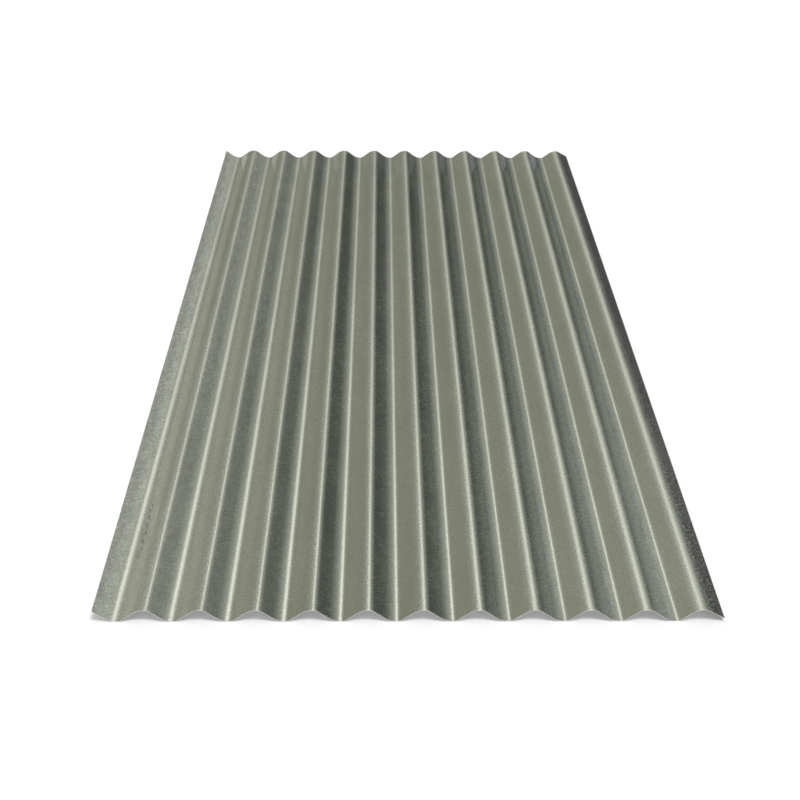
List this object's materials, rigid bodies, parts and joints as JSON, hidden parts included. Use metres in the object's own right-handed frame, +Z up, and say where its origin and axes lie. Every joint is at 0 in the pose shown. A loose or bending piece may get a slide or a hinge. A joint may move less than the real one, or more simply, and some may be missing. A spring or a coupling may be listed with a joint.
{
  "type": "corrugated metal sheet",
  "caption": "Long zinc-coated steel roofing sheet, rolled into even round waves that run its length, with one side edge raised and the other dropped.",
  "frame": {"origin": "bottom centre of the sheet's box, on the plane that the undersides of the valleys rest on", "axes": "+Y along the waves, +X across them towards the dropped side edge, +Z up"},
  "size_m": [0.8606, 2, 0.0185],
  "materials": {
    "zinc_coated_steel": "dull bright zinc coating with fine rolling scratches"
  },
  "bodies": {
    "root": {"corrugated_sheet": "zinc_coated_steel"}
  },
  "joints": []
}
